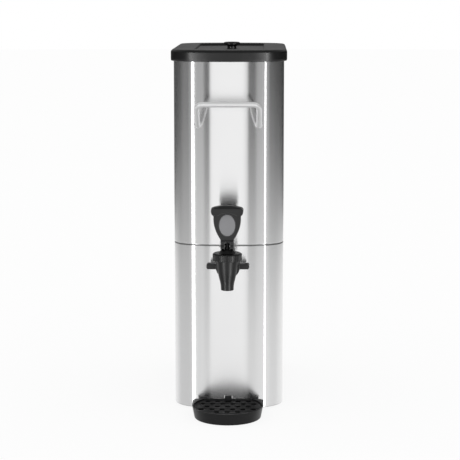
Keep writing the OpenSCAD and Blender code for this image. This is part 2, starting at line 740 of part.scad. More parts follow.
module drip_grille() {
  rows = floor(tray_d / grille_row);
  side = floor(tray_x / grille_pitch) + 1;
  reach = basin_r - grille_play - grille_hole - 2.2;
  lead = tray_y + basin_r * sin(basin_a) - grille_play - grille_hole - 3.2;
  difference() {
    prism(basin_arcs, -grille_play, grille_z, grille_t);
    for (j = [0:rows]) for (i = [-side:side]) {
      x = (i + (j % 2) / 2) * grille_pitch;
      y = lead - j * grille_row;
      if (norm([x, y - tray_y]) <= reach)
        translate([x, y, grille_z - 1]) cylinder(r = grille_hole, h = grille_t + 2);
    }
  }
}

color(steel) tank_shell();
color(steel) tank_floor();
color(steel) lower_shell();
color(steel) base_pan();
color(black) base_feet();
color(steel) feet_screws();
color(steel) feet_nuts();
color(steel) front_handle();
color(steel) rear_handle();
color(black) lid_cover();
color(black) lid_knob();
color(steel) knob_screw();
color(steel) faucet_shank();
color([0.2, 0.2, 0.2]) shank_gasket();
color([0.2, 0.2, 0.2]) shell_gasket();
color(steel) shank_nut();
color([0.8, 0.8, 0.78]) tail_seal();
color(black) wing_nut();
color(black) faucet_body();
color(black) faucet_bonnet();
color(steel) valve_stem();
color([0.8, 0.8, 0.78]) seat_cup();
color(steel) valve_spring();
color(black) lever();
color([0.55, 0.55, 0.56]) lever_badge();
color(steel) lever_pin();
color(black) drip_tray();
color(black) drip_grille();
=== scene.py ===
"""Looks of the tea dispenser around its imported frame: smooth meshes for what shows, and all materials."""
import math

import bmesh
import bpy
from mathutils import Matrix, Vector


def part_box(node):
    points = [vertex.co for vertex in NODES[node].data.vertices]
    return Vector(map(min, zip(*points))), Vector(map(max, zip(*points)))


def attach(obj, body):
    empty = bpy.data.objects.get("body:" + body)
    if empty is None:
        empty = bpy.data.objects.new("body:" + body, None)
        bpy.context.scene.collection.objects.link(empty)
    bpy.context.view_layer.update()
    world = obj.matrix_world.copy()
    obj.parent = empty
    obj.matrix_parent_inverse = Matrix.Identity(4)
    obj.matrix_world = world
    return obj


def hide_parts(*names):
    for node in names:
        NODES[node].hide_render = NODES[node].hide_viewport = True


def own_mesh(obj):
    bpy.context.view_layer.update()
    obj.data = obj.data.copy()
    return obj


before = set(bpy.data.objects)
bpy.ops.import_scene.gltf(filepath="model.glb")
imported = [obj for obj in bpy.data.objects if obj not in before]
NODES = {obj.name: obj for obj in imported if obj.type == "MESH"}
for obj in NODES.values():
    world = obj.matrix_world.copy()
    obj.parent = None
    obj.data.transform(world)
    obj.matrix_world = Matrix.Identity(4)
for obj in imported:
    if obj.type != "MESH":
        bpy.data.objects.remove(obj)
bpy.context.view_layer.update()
MM = 0.001

# Sizes of the shell in millimetres, as in the CAD source
FRONT_Y = -133.95
REAR_Y = 186.05
BODY_Y = 26.05
CORNER_X = 42
CORNER_R = 40.5
FACE_R = 190
FACE_A = math.degrees(math.asin(CORNER_X / (FACE_R - CORNER_R)))
CORNER_IN = FACE_R - (FACE_R - CORNER_R) * math.cos(math.radians(FACE_A))
SKIRT_FOOT = 2.3
SEAM_Z = 252
RIM_Z = 536.2
RIM_R = 2
SLOT_X = 5.95
SLOT_LOW = 17
SLOT_TOP = 22.1

# Handles
BAR_Z = 464.5
BAR_OUT = 35
HANDLE_HALF = 45.5
HANDLE_BEND = 9
HANDLE_DROP = 32
ROD_R = 3.9

# Lid
LID_FOOT = 524.6
LID_SEAT = 536.5
LID_PANEL = 538.1
LID_TOP = 541.6
SHOULDER_Z = 537.1
SHOULDER_R = 4.5
KNOB_X = 2
KNOB_H = 10.4
SCREW_BORE = 2.05

# Tray and grille
TRAY_X = 53
TRAY_H = 17.5
TRAY_Y = FRONT_Y - 91 + TRAY_X
TRAY_REAR = FRONT_Y - 0.3
TRAY_CORNER = 8
TONGUE_X = 5.35
TONGUE_TOP = 21.5
BASIN_R = TRAY_X - 2
BASIN_REAR = FRONT_Y - 2.3
BASIN_A = math.degrees(math.asin((BASIN_REAR - TRAY_Y) / BASIN_R))
GRILLE_SEAT = 13.4
GRILLE_Z = 13.7
GRILLE_T = 2.2
HOLE_R = 4
HOLE_STEP = 15.4
HOLE_ROW = 15
HOLE_REACH = 44.3

# Faucet
SHANK_Z = 225
SHANK_BORE = 11.05
TAIL_BORE = 5.5
FAUCET_Y = FRONT_Y - 58
COLLAR_Z = 240
COLLAR_TOP = 251
COLLAR_R = 21.3
COLLAR_RIBS = 30
RIB_DEPTH = 0.7
DOME_Z = 256
SPRING_WIRE_R = 0.55
SPRING_TURNS = 7
BADGE_X = 11.5
BADGE_Z = 15.6
BADGE_MIDDLE = 292.3
BADGE_Y = FAUCET_Y - 6.8

# View: angles in degrees, lens in millimetres, places in metres
VIEW_A = 1.3
VIEW_DOWN = 8.81
CAMERA_LENS = 122.4
CAMERA_X = 0.0548
CAMERA_AWAY = 2.2993
CAMERA_Z = 0.632

# Studio: metres for the lamps, millimetres for the meshes
LAMP_AWAY = 3.8
LAMP_MIDDLE = -1.2
LAMP_HEIGHT = 5.2
WALL_R = 4000
WALL_LOW = -2600
WALL_TOP = 1500
FLOOR_R = 14000

# Angles over which an edge stays sharp, on large forms and on rods, plates and blocks
SHARP_A = 32
SMALL_SHARP_A = 40

# Points along the outlines of the shell and the tray
CORNER_STEPS = 36
FACE_STEPS = 40
TRAY_CORNER_STEPS = 16
TRAY_ROUND_STEPS = 120


# Geometry helpers

def circle(steps):
    """Cosine and sine of evenly spaced directions."""
    turns = [2 * math.pi * i / steps for i in range(steps)]
    return [(math.cos(a), math.sin(a)) for a in turns]


def arc_points(arcs, off=0.0):
    """Outline made of arcs, moved outwards by off.

    An arc is (centre, radius, start, sweep, steps, 1 if its last point is left to the next arc).
    """
    points = []
    for (cx, cy), radius, start, sweep, steps, drop in arcs:
        for i in range(steps + 1 - drop):
            a = math.radians(start + sweep * i / steps)
            points.append((cx + (radius + off) * math.cos(a), cy + (radius + off) * math.sin(a)))
    return points


def body_arcs():
    """Outline of the shell: four upright corners and bowed front and back faces."""
    a = FACE_A
    back = REAR_Y - CORNER_IN
    front = FRONT_Y + CORNER_IN
    return [
        ((CORNER_X, back), CORNER_R, 0, 90 - a, CORNER_STEPS, 1),
        ((0, REAR_Y - FACE_R), FACE_R, 90 - a, 2 * a, FACE_STEPS, 1),
        ((-CORNER_X, back), CORNER_R, 90 + a, 90 - a, CORNER_STEPS, 0),
        ((-CORNER_X, front), CORNER_R, 180, 90 - a, CORNER_STEPS, 1),
        ((0, FRONT_Y + FACE_R), FACE_R, 270 - a, 2 * a, FACE_STEPS, 1),
        ((CORNER_X, front), CORNER_R, 270 + a, 90 - a, CORNER_STEPS, 0),
    ]


def tray_arcs():
    """Outline of the drip tray: two small rear corners and a half circle in front."""
    rear = TRAY_REAR - TRAY_CORNER
    return [
        ((TRAY_X - TRAY_CORNER, rear), TRAY_CORNER, 0, 90, TRAY_CORNER_STEPS, 0),
        ((-TRAY_X + TRAY_CORNER, rear), TRAY_CORNER, 90, 90, TRAY_CORNER_STEPS, 0),
        ((0, TRAY_Y), TRAY_X, 180, 180, TRAY_ROUND_STEPS, 0),
    ]


def basin_arcs():
    """Outline of the tray's round basin, cut off straight at its rear wall.

    Its arcs have as many points as those of the tray, so that rows of both can be joined.
    """
    return [
        ((0, TRAY_Y), BASIN_R, 0, BASIN_A, TRAY_CORNER_STEPS, 0),
        ((0, TRAY_Y), BASIN_R, 180 - BASIN_A, BASIN_A, TRAY_CORNER_STEPS, 0),
        ((0, TRAY_Y), BASIN_R, 180, 180, TRAY_ROUND_STEPS, 0),
    ]


def rounded(points, closed=False, steps=5):
    """Profile with rounded corners.

    A point is (offset, height), or (offset, height, length cut off each side of the corner).
    """
    out = []
    n = len(points)
    for i, point in enumerate(points):
        p = Vector(point[:2])
        cut = point[2] if len(point) > 2 else 0
        if not cut or (not closed and i in (0, n - 1)):
            out.append(tuple(p))
            continue
        a = Vector(points[i - 1][:2]) - p
        b = Vector(points[(i + 1) % n][:2]) - p
        start = p + a.normalized() * min(cut, a.length * 0.49)
        end = p + b.normalized() * min(cut, b.length * 0.49)
        for k in range(steps + 1):
            t = k / steps
            q = start * (1 - t) ** 2 + p * 2 * t * (1 - t) + end * t ** 2
            out.append(tuple(q))
    return supported(out, closed)


def supported(points, closed, long_part=4, inset=0.6):
    """Adds a point near each end of the long straight parts, so that they shade flat in between."""
    out = []
    n = len(points)
    for i, point in enumerate(points):
        out.append(point)
        if i == n - 1 and not closed:
            break
        a = Vector(point)
        b = Vector(points[(i + 1) % n])
        length = (b - a).length
        if length > long_part:
            out.append(tuple(a.lerp(b, inset / length)))
            out.append(tuple(b.lerp(a, inset / length)))
    return out


def new_object(name, data):
    obj = bpy.data.objects.new(name, data)
    bpy.context.scene.collection.objects.link(obj)
    return obj


def tidy_mesh(mesh, sharp=SHARP_A):
    """Welds the mesh, turns its faces outwards and shades it smooth up to the angle sharp."""
    bm = bmesh.new()
    bm.from_mesh(mesh)
    bmesh.ops.remove_doubles(bm, verts=bm.verts, dist=1e-7)
    bmesh.ops.recalc_face_normals(bm, faces=bm.faces)
    bm.to_mesh(mesh)
    bm.free()
    mesh.shade_smooth()
    mesh.set_sharp_from_angle(angle=math.radians(sharp))
    return mesh


def mesh_object(name, points, faces, sharp=SHARP_A):
    mesh = bpy.data.meshes.new(name)
    mesh.from_pydata([tuple(c * MM for c in p) for p in points], [], faces)
    return new_object(name, tidy_mesh(mesh, sharp))


def stack(name, rows, closed=False, caps=False, sharp=SHARP_A):
    """Quads through rows of points with equal counts.

    closed joins the last row to the first, and caps closes both ends.
    """
    n = len(rows[0])
    m = len(rows)
    points = [p for row in rows for p in row]
    faces = []
    for i in range(m if closed else m - 1):
        k = (i + 1) % m
        for j in range(n):
            faces.append((i * n + j, i * n + (j + 1) % n, k * n + (j + 1) % n, k * n + j))
    if caps:
        faces.append(tuple(range(n)))
        faces.append(tuple((m - 1) * n + j for j in range(n)))
    return mesh_object(name, points, faces, sharp)


def outline_rows(arcs, profile):
    """One row of points for each (offset, height) of a profile."""
    return [[(x, y, z) for x, y in arc_points(arcs, off)] for off, z in profile]


def swept(name, arcs, profile, closed=True):
    """Profile of (offset, height) carried around an outline."""
    return stack(name, outline_rows(arcs, profile), closed=closed, caps=not closed)


def lathe(name, profile, centre, axis="Z", steps=96, closed=False):
    """Profile of (radius, distance along the axis) turned about the axis.

    Axis Y runs forwards from the shell.
    """
    x, y, z = centre
    rows = []
    for r, d in profile:
        if axis == "Z":
            rows.append([(x + r * c, y + r * s, z + d) for c, s in circle(steps)])
        else:
            rows.append([(x + r * c, y - d, z + r * s) for c, s in circle(steps)])
    return stack(name, rows, closed=closed)


def drill(radius, low, high, centre, axis="Z", steps=32):
    """Round cutter along an axis, between two distances from its centre."""
    return lathe("cutter", [(0, low), (radius, low), (radius, high), (0, high)], centre, axis, steps)


def tube(name, path, radii, steps=32):
    """Round rod along a path of points, with a radius at each."""
    pts = [Vector(p) for p in path]
    rows = []
    side = None
    for i, p in enumerate(pts):
        d = (pts[min(i + 1, len(pts) - 1)] - pts[max(i - 1, 0)]).normalized()
        if side is None:
            side = d.orthogonal().normalized()
        side = (side - d * side.dot(d)).normalized()
        up = d.cross(side)
        rows.append([tuple(p + (side * c + up * s) * radii[i]) for c, s in circle(steps)])
    return stack(name, rows, caps=True, sharp=SMALL_SHARP_A)


def evaluated_mesh(obj):
    """New mesh of an object's curve or modifiers."""
    graph = bpy.context.evaluated_depsgraph_get()
    graph.update()
    return bpy.data.meshes.new_from_object(obj.evaluated_get(graph))


def applied(obj):
    """Puts the mesh that the modifiers give in place of the old one."""
    mesh = evaluated_mesh(obj)
    obj.modifiers.clear()
    obj.data = mesh


def cut_by(obj, *cutters):
    """Cuts the cutters' solids out of obj and removes them."""
    for cutter in cutters:
        mod = obj.modifiers.new("cut", "BOOLEAN")
        mod.operation = "DIFFERENCE"
        mod.solver = "EXACT"
        mod.object = cutter
    applied(obj)
    for cutter in cutters:
        bpy.data.objects.remove(cutter)
    tidy_mesh(obj.data)


def joined(name, *objs):
    """One object from several."""
    bm = bmesh.new()
    for obj in objs:
        bm.from_mesh(obj.data)
    mesh = bpy.data.meshes.new(name)
    bm.to_mesh(mesh)
    bm.free()
    for obj in objs:
        bpy.data.objects.remove(obj)
    mesh.shade_smooth()
    mesh.set_sharp_from_angle(angle=math.radians(SHARP_A))
    return new_object(name, mesh)


def block(name, low, high, bevel=0.0):
    """Box between two corners, with its edges rounded by bevel."""
    bm = bmesh.new()
    bmesh.ops.create_cube(bm, size=1)
    for v in bm.verts:
        v.co = Vector([(a + b) / 2 + c * (b - a) for a, b, c in zip(low, high, v.co)]) * MM
    if bevel:
        bmesh.ops.bevel(bm, geom=bm.edges, offset=bevel * MM, segments=3, profile=0.5, affect="EDGES")
    mesh = bpy.data.meshes.new(name)
    bm.to_mesh(mesh)
    bm.free()
    return new_object(name, tidy_mesh(mesh, SMALL_SHARP_A))


def plate(name, loops, depth, place, bevel):
    """Flat plate from closed outlines, the inner ones as holes, with rounded edges.

    place puts local x, y, z into the frame. The plate is depth thick, from local z 0 up.
    """
    curve = bpy.data.curves.new(name, "CURVE")
    curve.dimensions = "2D"
    curve.fill_mode = "BOTH"
    for loop in loops:
        spline = curve.splines.new("POLY")
        spline.points.add(len(loop) - 1)
        for point, (x, y) in zip(spline.points, loop):
            point.co = (x * MM, y * MM, 0, 1)
        spline.use_cyclic_u = True
    curve.extrude = (depth / 2 - bevel) * MM
    curve.bevel_depth = bevel * MM
    curve.bevel_resolution = 2
    curve.offset = -bevel * MM
    shape = new_object(name + "_curve", curve)
    mesh = evaluated_mesh(shape)
    bpy.data.objects.remove(shape)
    mesh.name = name
    mesh.transform(place @ Matrix.Translation((0, 0, depth / 2 * MM)))
    return new_object(name, tidy_mesh(mesh, SMALL_SHARP_A))


# Materials

def material(name, colour, roughness, metallic=0.0, **sockets):
    """Material whose other shader sockets are set by name, with underscores for spaces."""
    mat = bpy.data.materials.new(name)
    mat.use_nodes = True
    inputs = mat.node_tree.nodes["Principled BSDF"].inputs
    inputs["Base Color"].default_value = (*colour, 1)
    inputs["Roughness"].default_value = roughness
    inputs["Metallic"].default_value = metallic
    for key, value in sockets.items():
        inputs[key.replace("_", " ")].default_value = value
    return mat


def connect(tree, value, socket):
    """Links a socket to a node's input, or sets the input to a number or a colour."""
    if isinstance(value, bpy.types.NodeSocket):
        tree.links.new(value, socket)
    elif isinstance(value, tuple):
        socket.default_value = (*value, 1)
    else:
        socket.default_value = value


def into(mat, name, value):
    """Links a socket into the material's shader."""
    mat.node_tree.links.new(value, mat.node_tree.nodes["Principled BSDF"].inputs[name])


def object_coordinates(mat):
    coord = mat.node_tree.nodes.new("ShaderNodeTexCoord")
    return coord.outputs["Object"]


def object_axes(mat):
    """The X, Y and Z of the object coordinates, in metres."""
    split = mat.node_tree.nodes.new("ShaderNodeSeparateXYZ")
    mat.node_tree.links.new(object_coordinates(mat), split.inputs["Vector"])
    return split.outputs


def noise(mat, scale, stretch=(1, 1, 1), detail=4.0, rough=0.55, seed=0.0):
    """Noise over object coordinates, stretched and shifted by seed."""
    tree = mat.node_tree
    mapping = tree.nodes.new("ShaderNodeMapping")
    mapping.inputs["Scale"].default_value = stretch
    mapping.inputs["Location"].default_value = (seed, seed * 0.37, seed * 0.61)
    texture = tree.nodes.new("ShaderNodeTexNoise")
    texture.inputs["Scale"].default_value = scale
    texture.inputs["Detail"].default_value = detail
    texture.inputs["Roughness"].default_value = rough
    tree.links.new(object_coordinates(mat), mapping.inputs["Vector"])
    tree.links.new(mapping.outputs["Vector"], texture.inputs["Vector"])
    return texture.outputs["Fac"]


def ranged(mat, value, low, high, start=0.3, end=0.7):
    """Maps a value from start..end to low..high."""
    node = mat.node_tree.nodes.new("ShaderNodeMapRange")
    node.inputs["From Min"].default_value = start
    node.inputs["From Max"].default_value = end
    node.inputs["To Min"].default_value = low
    node.inputs["To Max"].default_value = high
    mat.node_tree.links.new(value, node.inputs["Value"])
    return node.outputs["Result"]


def mixed(mat, fac, a, b):
    """Colour between a and b, each a colour or a socket."""
    node = mat.node_tree.nodes.new("ShaderNodeMix")
    node.data_type = "RGBA"
    connect(mat.node_tree, a, node.inputs["A"])
    connect(mat.node_tree, b, node.inputs["B"])
    connect(mat.node_tree, fac, node.inputs["Factor"])
    return node.outputs["Result"]


def computed(mat, operation, *values):
    """Result of a Math node over sockets and numbers."""
    node = mat.node_tree.nodes.new("ShaderNodeMath")
    node.operation = operation
    for k, value in enumerate(values):
        connect(mat.node_tree, value, node.inputs[k])
    return node.outputs["Value"]


def edge_mask(mat, start, end):
    """One along convex edges, where wear and handling show; on the lever it also marks a painted highlight.
    """
    geometry = mat.node_tree.nodes.new("ShaderNodeNewGeometry")
    return ranged(mat, geometry.outputs["Pointiness"], 0, 1, start=start, end=end)


def band(mat, centre, half, soft):
    """One where the height is within half of centre, in metres."""
    away = computed(mat, "ABSOLUTE", computed(mat, "SUBTRACT", object_axes(mat)["Z"], centre))
    return ranged(mat, away, 1, 0, start=half - soft, end=half + soft)


def bump(mat, *heights):
    """Bumps from (height socket, depth in metres, strength), one on the other, into the shader."""
    tree = mat.node_tree
    last = None
    for height, depth, strength in heights:
        node = tree.nodes.new("ShaderNodeBump")
        node.inputs["Distance"].default_value = depth
        node.inputs["Strength"].default_value = strength
        tree.links.new(height, node.inputs["Height"])
        if last is not None:
            tree.links.new(last, node.inputs["Normal"])
        last = node.outputs["Normal"]
    into(mat, "Normal", last)


def brushed(name, colour, dark, roughness, spread, aniso, grain, depth, seam_shade=None):
    """Sheet steel with a horizontal grain: reflections blur more up and down than sideways.

    The last argument gives (centre, half, soft, colour) of a darker level line, painted shade in the seam's
    groove, with its heights in metres.
    """
    mat = material(name, colour, roughness, metallic=1.0, Anisotropic=aniso, Anisotropic_Rotation=0.25)
    tangent = mat.node_tree.nodes.new("ShaderNodeTangent")
    tangent.direction_type = "RADIAL"
    tangent.axis = "Z"
    into(mat, "Tangent", tangent.outputs["Tangent"])
    fine = noise(mat, 1.0, (1.2, 1.2, grain), detail=2, rough=0.6)
    coarse = noise(mat, 1.0, (4, 4, 70), detail=3, rough=0.5, seed=3.1)
    cloud = noise(mat, 9.0, (1, 1, 0.6), detail=2, rough=0.5, seed=7.7)
    into(mat, "Roughness", ranged(mat, fine, roughness - spread, roughness + spread))
    tint = mixed(mat, ranged(mat, cloud, 0, 1), colour, dark)
    # Painted shade: the steel's colour is darker along the seam's groove.
    if seam_shade:
        tint = mixed(mat, band(mat, *seam_shade[:3]), tint, seam_shade[3])
    into(mat, "Base Color", tint)
    bump(mat, (fine, depth, 1.0), (coarse, 4e-6, 0.2))
    return mat


def moulded(name, colour, wear_and_sheen, roughness, spread, grain, depth, strength, edges=(0.52, 0.6), **sockets):
    """Moulded plastic: fine texture, slight mottling, edges polished and greyed by handling, which on the
    lever is also a painted highlight.
    """
    mat = material(name, colour, roughness, **sockets)
    texture = noise(mat, grain, detail=3, rough=0.6)
    mottle = noise(mat, 60.0, detail=3, rough=0.5, seed=4.2)
    into(mat, "Roughness", ranged(mat, mottle, roughness - spread, roughness + spread))
    into(mat, "Base Color", mixed(mat, edge_mask(mat, *edges), colour, wear_and_sheen))
    bump(mat, (texture, depth, strength))
    return mat


# Brushed steel, with painted shade along the seam's groove
STEEL = brushed(
    "brushed_steel", (0.80, 0.80, 0.80), (0.77, 0.77, 0.775), roughness=0.17, spread=0.01, aniso=1.0,
    grain=1800, depth=6e-6, seam_shade=((SEAM_Z + 0.2) * MM, 1.3 * MM, 0.4 * MM, (0.6, 0.6, 0.6)))
INNER = brushed(
    "inner_steel", (0.62, 0.62, 0.61), (0.56, 0.56, 0.55), roughness=0.34, spread=0.05, aniso=0.4,
    grain=420, depth=4e-6)
ROD = material("rod_steel", (0.9, 0.9, 0.9), roughness=0.36, metallic=0.55)
into(ROD, "Roughness", ranged(ROD, noise(ROD, 160), 0.32, 0.4))
bump(ROD, (noise(ROD, 700, (0.2, 1, 1), detail=3), 3e-6, 0.4))
FASTENER = material("fastener_steel", (0.6, 0.6, 0.59), roughness=0.35, metallic=1.0)
into(FASTENER, "Roughness", ranged(FASTENER, noise(FASTENER, 400), 0.28, 0.42))
bump(FASTENER, (noise(FASTENER, 1500), 6e-6, 0.4))
LID = moulded(
    "lid_plastic", (0.005, 0.005, 0.0053), (0.022, 0.022, 0.023), roughness=0.34, spread=0.04,
    grain=1400, depth=2e-5, strength=0.5, Specular_IOR_Level=0.35)
FAUCET = moulded(
    "faucet_plastic", (0.005, 0.005, 0.0055), (0.05, 0.05, 0.052), roughness=0.38, spread=0.04,
    grain=900, depth=8e-6, strength=0.2, Specular_IOR_Level=0.28)
# Lever: its edges are greyed lighter and wider than the faucet's, as wear and as a painted highlight along
# the paddle's lip and rims
LEVER = moulded(
    "lever_plastic", (0.008, 0.008, 0.0085), (0.08, 0.08, 0.082), roughness=0.42, spread=0.04,
    grain=900, depth=8e-6, strength=0.2, edges=(0.506, 0.535), Specular_IOR_Level=0.34)
TRAY = moulded(
    "tray_plastic", (0.007, 0.007, 0.0075), (0.02, 0.02, 0.021), roughness=0.36, spread=0.05,
    grain=1100, depth=1.6e-5, strength=0.4, Specular_IOR_Level=0.4)
GRILLE = moulded(
    "grille_plastic", (0.006, 0.006, 0.0065), (0.03, 0.03, 0.031), roughness=0.55, spread=0.08,
    grain=1000, depth=3e-5, strength=0.7, Specular_IOR_Level=0.2)
BADGE = moulded(
    "badge_plastic", (0.25, 0.25, 0.26), (0.36, 0.36, 0.37), roughness=0.36, spread=0.04,
    grain=1200, depth=1e-5, strength=0.3)
RUBBER = moulded(
    "foot_rubber", (0.025, 0.025, 0.026), (0.05, 0.05, 0.05), roughness=0.7, spread=0.06,
    grain=1500, depth=3e-5, strength=0.6)
GASKET = moulded(
    "gasket_rubber", (0.03, 0.03, 0.032), (0.05, 0.05, 0.05), roughness=0.55, spread=0.06,
    grain=1300, depth=2e-5, strength=0.5)
SILICONE = moulded(
    "seal_silicone", (0.62, 0.62, 0.59), (0.7, 0.7, 0.68), roughness=0.42, spread=0.05,
    grain=1200, depth=1e-5, strength=0.3, Subsurface_Weight=0.15)


def finish_piece(obj, mat, body, slot, *nodes):
    """Gives a new piece its material and body, and lets it stand for the CAD nodes. The slot argument is
    not used.
    """
    obj.data.materials.clear()
    obj.data.materials.append(mat)
    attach(obj, body)
    if nodes:
        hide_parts(*nodes)
    return obj


def dress(mat, *nodes):
    """Puts a material on CAD nodes that stay."""
    for name in nodes:
        NODES[name].data.materials.clear()
        NODES[name].data.materials.append(mat)


dress(INNER, "tank_floor", "base_pan")
dress(FASTENER, "feet_screws", "feet_nuts", "knob_screw", "faucet_shank", "shank_nut", "lever_pin")
dress(RUBBER, "base_feet")
dress(GASKET, "shank_gasket", "shell_gasket")
dress(SILICONE, "tail_seal")
dress(FAUCET, "valve_stem")


# Shell: sheet walls 1 mm thick, given as outer and inner side of one closed profile

def shank_hole():
    return drill(SHANK_BORE, -20, 20, (0, FRONT_Y, SHANK_Z), "Y", steps=96)


def rim_roll(radius):
    """Rolled rim of the tank, from its inside over the top and down outside."""
    return arc_points([((1, RIM_Z - RIM_R), radius, 180, -210, 14, 0)])


tank = swept("tank_skin", body_arcs(), rounded([
    (-2, 196), (-1, 196), (-1, SEAM_Z - 0.4, 0.3), (0, SEAM_Z + 0.8, 0.9),
    *rim_roll(RIM_R - 1), *reversed(rim_roll(RIM_R)),
    (-1, SEAM_Z + 1.3, 0.5), (-2, SEAM_Z + 0.1, 0.5)], closed=True))
cut_by(tank, shank_hole())
finish_piece(tank, STEEL, "dispenser", "shell_steel", "tank_shell")

skirt = swept("skirt_skin", body_arcs(), rounded([
    (-9, SKIRT_FOOT), (0, SKIRT_FOOT, 0.9), (0, SEAM_Z - 0.8, 0.45), (-1, SEAM_Z - 0.8, 0.2),
    (-1, 3.3, 0.4), (-9, 3.3)], closed=True))
tray_slot = block("tray_slot", (-SLOT_X, FRONT_Y - 3, SLOT_LOW), (SLOT_X, FRONT_Y + 3, SLOT_TOP))
cut_by(skirt, shank_hole(), tray_slot)
finish_piece(skirt, STEEL, "dispenser", "shell_steel", "lower_shell")


# Handles

def handle(name, node, behind=False):
    """Bent rod: a bar ahead of two legs that lean in to the shell, with a welded fillet at each."""
    flat = [(-HANDLE_HALF, HANDLE_DROP * math.sqrt(2))]
    for degrees in range(0, 91, 6):
        a = math.radians(degrees)
        flat.append((-HANDLE_HALF + HANDLE_BEND - HANDLE_BEND * math.cos(a),
                     HANDLE_BEND - HANDLE_BEND * math.sin(a)))
    flat += [(-x, y) for x, y in reversed(flat)]
    lean = math.sqrt(2)
    path = [(x, FRONT_Y - BAR_OUT + v / lean, BAR_Z - v / lean) for x, v in flat]
    x, y, z = path[0]
    foot = [(x, y + 3 + CORNER_IN * 0.1, z), (x, y + 3.5, z), (x, y + 2, z), (x, y + 1, z + 0.4)]
    weld_radii = [5.6, 4.9, 4.3, 4.0]
    rod = path[1:-1]
    path = foot + rod + [(-a, b, c) for a, b, c in reversed(foot)]
    radii = weld_radii + [ROD_R] * len(rod) + weld_radii[::-1]
    if behind:
        path = [(a, 2 * BODY_Y - b, c) for a, b, c in path]
    finish_piece(tube(name, path, radii), ROD, "dispenser", "handle_steel", node)


handle("front_rod", "front_handle")
handle("rear_rod", "rear_handle", behind=True)


# Lid: hollow border, rounded shoulder, sunk panel

shoulder = arc_points([((-0.1, SHOULDER_Z), SHOULDER_R, 0, 90, 12, 0)])
lid = swept("lid_shell", body_arcs(), rounded([
    (-33.6, LID_SEAT), (-30.4, LID_SEAT, 0.5), (-28.2, 540, 0.6), (-1.7, 540, 0.4), (-1.7, LID_SEAT, 0.4),
    (2.8, LID_SEAT, 0.4), (2.8, LID_FOOT, 0.3), (3.5, LID_FOOT, 0.3), (4, 525.2, 0.3), (4.4, 527.6),
    *shoulder, (-29.6, LID_TOP, 0.9), (-30.4, 541.02, 0.5), (-31.2, 538.54, 0.6),
    (-31.8, LID_PANEL, 0.8), (-33.6, LID_PANEL)]), closed=False)
cut_by(lid, drill(SCREW_BORE, 530, 545, (KNOB_X, BODY_Y, 0)))
finish_piece(lid, LID, "lid", "lid_plastic", "lid_cover")

knob = lathe("knob", rounded([
    (0, 0), (7.3, 0), (6.8, 3.1, 1), (8.6, 5.0, 1), (12.2, 6.0, 1), (13, 7.1, 0.8), (13, 8.5, 0.8),
    (12.1, 9.7, 0.8), (10.1, 10.24, 1), (7.8, KNOB_H, 1), (0, KNOB_H)]), (KNOB_X, BODY_Y, LID_PANEL))
cut_by(knob, drill(SCREW_BORE, -1, 7, (KNOB_X, BODY_Y, LID_PANEL)))
finish_piece(knob, LID, "lid", "lid_plastic", "lid_knob")


# Drip tray and its grille

outside = rounded([
    (-4.4, 0), (-3.4, 0.8, 0.6), (-0.4, TRAY_H - 1.2, 0.4), (0, TRAY_H - 0.7, 0.3), (0, TRAY_H, 0.45),
    (-1, TRAY_H)])
inside = rounded([
    (1, TRAY_H), (0.1, TRAY_H, 0.45), (-0.1, GRILLE_SEAT, 0.2), (-2, GRILLE_SEAT, 0.4), (-4, 4, 0.8),
    (-5, 2.6)])
bowl = stack("tray_bowl", outline_rows(tray_arcs(), outside[:-1]) + outline_rows(basin_arcs(), inside[1:]),
             caps=True)
post = block("tray_post", (-TONGUE_X, BASIN_REAR, 13.7), (TONGUE_X, TRAY_REAR, TONGUE_TOP), 0.5)
tongue = block("tray_tongue", (-TONGUE_X, FRONT_Y - 0.8, 17.6), (TONGUE_X, FRONT_Y + 7.5, TONGUE_TOP), 0.35)
tray = joined("tray_basin_form", bowl, post, tongue)
finish_piece(tray, TRAY, "tray", "tray_plastic", "drip_tray")


def grille_holes():
    """Round holes in rows, every other row half a step to the side."""
    found = []
    lead = FRONT_Y - 10
    for j in range(7):
        for i in range(-4, 5):
            x = (i + (j % 2) / 2) * HOLE_STEP
            y = lead - j * HOLE_ROW
            if math.hypot(x, y - TRAY_Y) <= HOLE_REACH:
                found.append([(x + HOLE_R * c, y + HOLE_R * s) for c, s in circle(40)])
    return found


grille = plate("tray_insert", [arc_points(basin_arcs(), -0.5), *grille_holes()], GRILLE_T,
               Matrix.Translation((0, 0, GRILLE_Z * MM)), bevel=0.5)
finish_piece(grille, GRILLE, "grille", "tray_plastic", "drip_grille")


# Faucet: profiles over height, or over the distance in front of the shell for tail and coupling

spout = lathe("spout", rounded([
    (4, 244), (13.2, 246, 0.5), (15.5, 246, 0.5), (15.5, 238, 2), (13.65, 221, 3), (9.6, 204, 3),
    (9.3, 196.6, 0.4), (8.9, 196, 0.3), (7.6, 196, 0.3), (7.6, 202, 1), (6, 209, 1), (6, 213.5, 0.5),
    (11.2, 221, 1), (13.2, 238, 1), (13.2, 243, 0.3), (4, 243.5)], closed=True),
    (0, FAUCET_Y, 0), closed=True)
cut_by(spout, drill(TAIL_BORE, 20, 56, (0, FRONT_Y, SHANK_Z), "Y", steps=48))
tail = lathe("tail", rounded([
    (TAIL_BORE, 26.5, 0.3), (10.4, 26.5, 0.3), (10.4, 29, 0.3), (8.5, 29, 0.4), (8.5, 46),
    (TAIL_BORE, 46)], closed=True), (0, FRONT_Y, SHANK_Z), "Y", closed=True)
finish_piece(joined("faucet_form", spout, tail), FAUCET, "dispenser", "faucet_plastic", "faucet_body")


def rib_groove(i, steps):
    """Depth of the groove between two ribs at a point of the collar's outline."""
    rib_half = 0.28
    slope = 0.12
    share = (2 * math.pi * i / steps * COLLAR_RIBS / (2 * math.pi)) % 1
    return RIB_DEPTH * max(0.0, min(1.0, (abs(share - 0.5) - rib_half) / slope))


